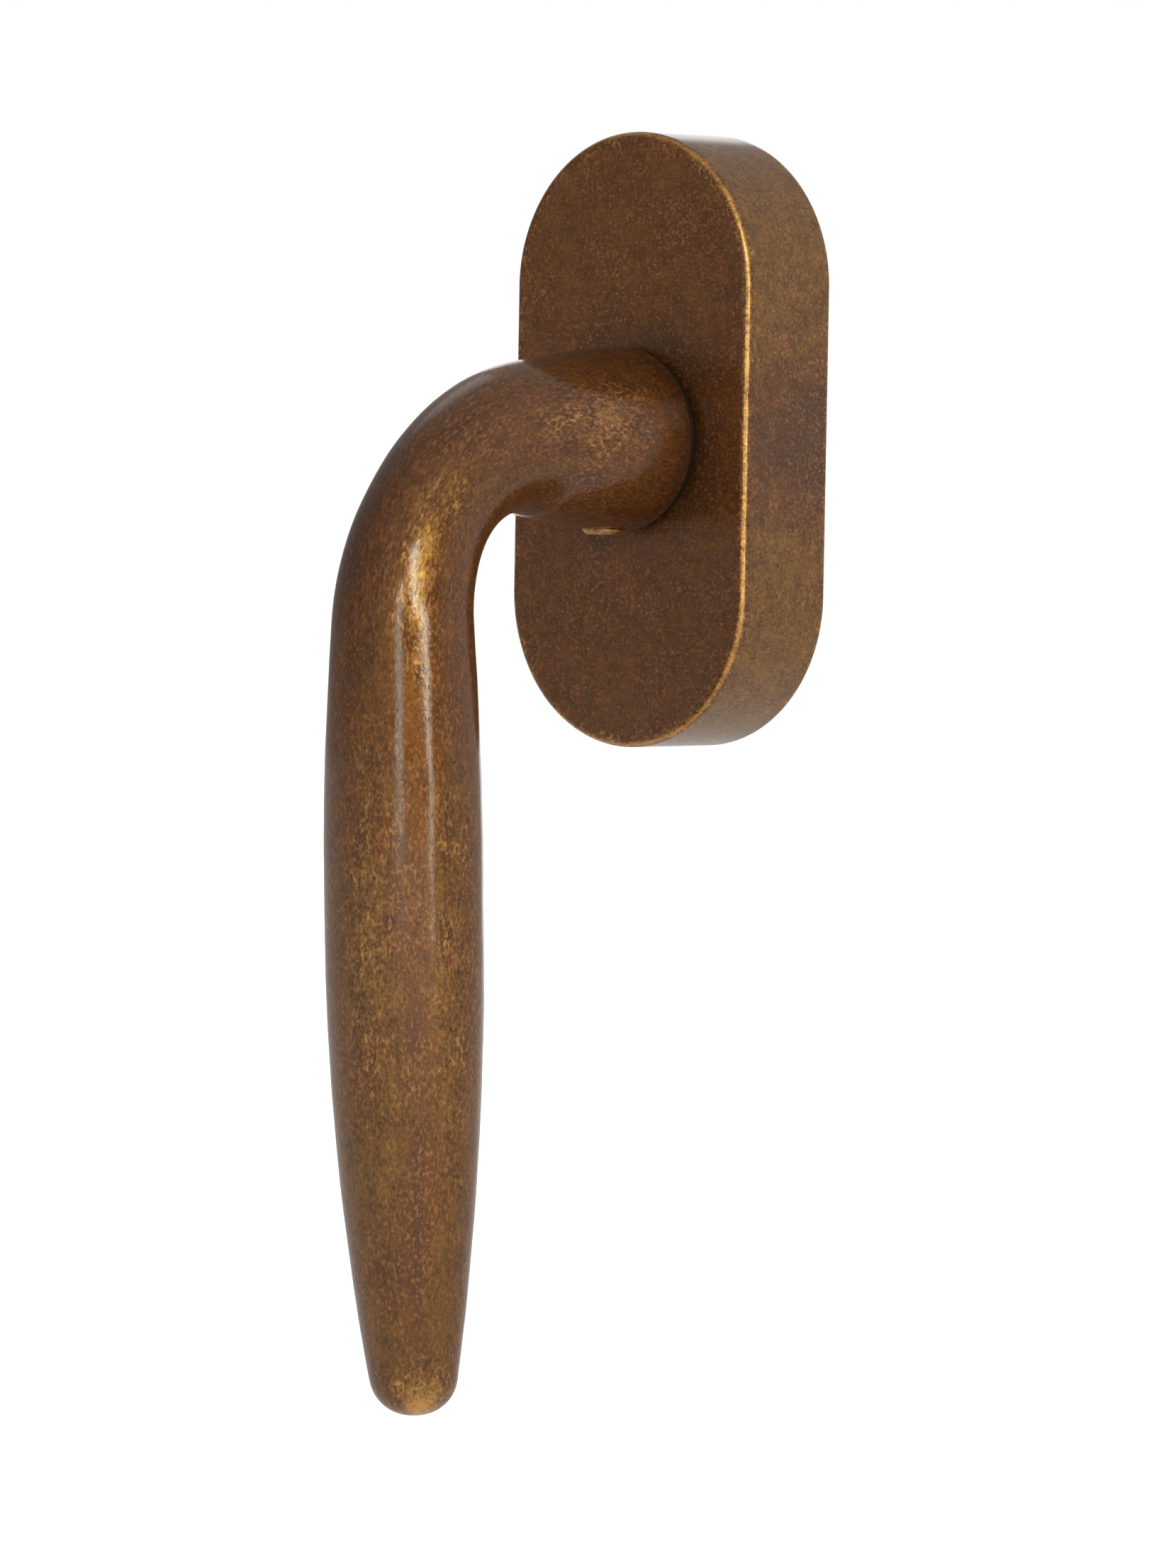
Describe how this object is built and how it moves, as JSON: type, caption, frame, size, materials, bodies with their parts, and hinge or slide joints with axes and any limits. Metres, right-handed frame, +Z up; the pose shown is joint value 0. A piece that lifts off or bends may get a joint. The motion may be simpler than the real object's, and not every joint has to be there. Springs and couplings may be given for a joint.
{
  "type": "tilt-and-turn window handle",
  "caption": "Lever handle for a tilt-and-turn window, in aged bronze on an oval rose, with a square spindle, fixing screws and a ball detent.",
  "frame": {"origin": "centre of the mounting face, on the spindle's axis", "axes": "+Y into the window sash, along the spindle; +Z up, with the grip hanging down at rest; +X to the right for someone who faces the handle"},
  "size_m": [0.035, 0.0746, 0.1439],
  "materials": {
    "aged_bronze": "cast bronze with a dark brown patina, worn through on edges",
    "black_nylon": "moulded nylon",
    "zinc_casting": "die-cast zinc, as cast",
    "plated_steel": "zinc-plated steel",
    "spring_steel": "spring steel, oiled",
    "ball_steel": "polished bearing ball"
  },
  "bodies": {
    "base": {"base_housing": "zinc_casting", "mechanism_cover_plate": "plated_steel", "plate_screws": "plated_steel", "mounting_screws": "plated_steel", "cover_rose": "aged_bronze", "neck_bush": "black_nylon", "rose_clip_left": "spring_steel", "rose_clip_right": "spring_steel", "thrust_washer": "black_nylon", "spring_washer": "spring_steel", "detent_spring_upper_right": "spring_steel", "detent_spring_upper_left": "spring_steel", "detent_spring_lower_left": "spring_steel", "detent_spring_lower_right": "spring_steel"},
    "handle": {"lever_handle": "aged_bronze", "neck_grub_screw": "aged_bronze", "spindle": "plated_steel", "spindle_cross_pin": "spring_steel", "detent_rotor": "plated_steel"},
    "detent_ball_upper_right": {"detent_ball_upper_right": "ball_steel"},
    "detent_ball_upper_left": {"detent_ball_upper_left": "ball_steel"},
    "detent_ball_lower_left": {"detent_ball_lower_left": "ball_steel"},
    "detent_ball_lower_right": {"detent_ball_lower_right": "ball_steel"}
  },
  "joints": [
    {"name": "handle_turn", "type": "hinge", "parent": "base", "child": "handle", "pos_m": [0, 0, 0], "axis": [0, -1, 0], "continuous": true},
    {"name": "detent_travel_upper_right", "type": "slide", "parent": "base", "child": "detent_ball_upper_right", "axis": [-0.7071, 0, -0.7071], "range_m": [0, 0.001], "stiffness_N_per_m": 600, "springref_m": 0.001, "deforming": ["detent_spring_upper_right"]},
    {"name": "detent_travel_upper_left", "type": "slide", "parent": "base", "child": "detent_ball_upper_left", "axis": [0.7071, 0, -0.7071], "range_m": [0, 0.001], "stiffness_N_per_m": 600, "springref_m": 0.001, "deforming": ["detent_spring_upper_left"]},
    {"name": "detent_travel_lower_left", "type": "slide", "parent": "base", "child": "detent_ball_lower_left", "axis": [0.7071, 0, 0.7071], "range_m": [0, 0.001], "stiffness_N_per_m": 600, "springref_m": 0.001, "deforming": ["detent_spring_lower_left"]},
    {"name": "detent_travel_lower_right", "type": "slide", "parent": "base", "child": "detent_ball_lower_right", "axis": [-0.7071, 0, 0.7071], "range_m": [0, 0.001], "stiffness_N_per_m": 600, "springref_m": 0.001, "deforming": ["detent_spring_lower_right"]}
  ],
  "couplings": [
    {"joint": "detent_travel_upper_left", "follows": "detent_travel_upper_right", "ratio": 1},
    {"joint": "detent_travel_lower_left", "follows": "detent_travel_upper_right", "ratio": 1},
    {"joint": "detent_travel_lower_right", "follows": "detent_travel_upper_right", "ratio": 1}
  ]
}
